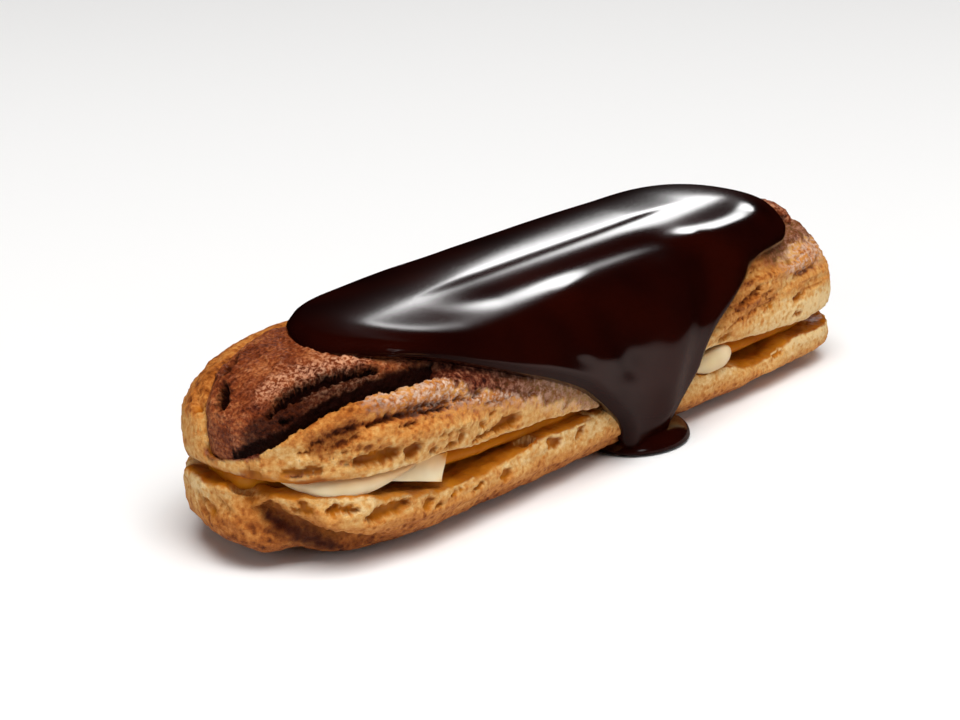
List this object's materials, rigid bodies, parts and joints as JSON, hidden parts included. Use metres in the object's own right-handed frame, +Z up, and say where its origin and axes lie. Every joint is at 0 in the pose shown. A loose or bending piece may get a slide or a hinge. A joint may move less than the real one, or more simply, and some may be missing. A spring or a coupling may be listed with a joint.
{
  "type": "chocolate eclair",
  "caption": "Split choux bun filled with custard and cream, with a cocoa crust on top and a dark poured glaze that runs down one side into a small puddle.",
  "frame": {"origin": "centre of the footprint, at the surface that the eclair lies on", "axes": "+X along the eclair's length, from its tapered end to its blunt end; +Z up; -Y is the side where the glaze runs down"},
  "size_m": [0.14, 0.0432, 0.0317],
  "materials": {
    "choux_base": "baked choux pastry, golden brown, rough and dry",
    "choux_top": "baked choux pastry, golden ridges over pale open crumb, rough and dry",
    "cocoa_crust": "baked cocoa crust, cracked and grainy",
    "custard": "amber custard, smooth and moist",
    "cream": "pale set cream, smooth and satin",
    "chocolate_glaze": "dark chocolate glaze, poured and set with a high gloss"
  },
  "bodies": {
    "root": {"bottom_half": "choux_base", "custard": "custard", "cream": "cream", "top_half": "choux_top", "cocoa_crust": "cocoa_crust", "glaze": "chocolate_glaze"}
  },
  "joints": []
}
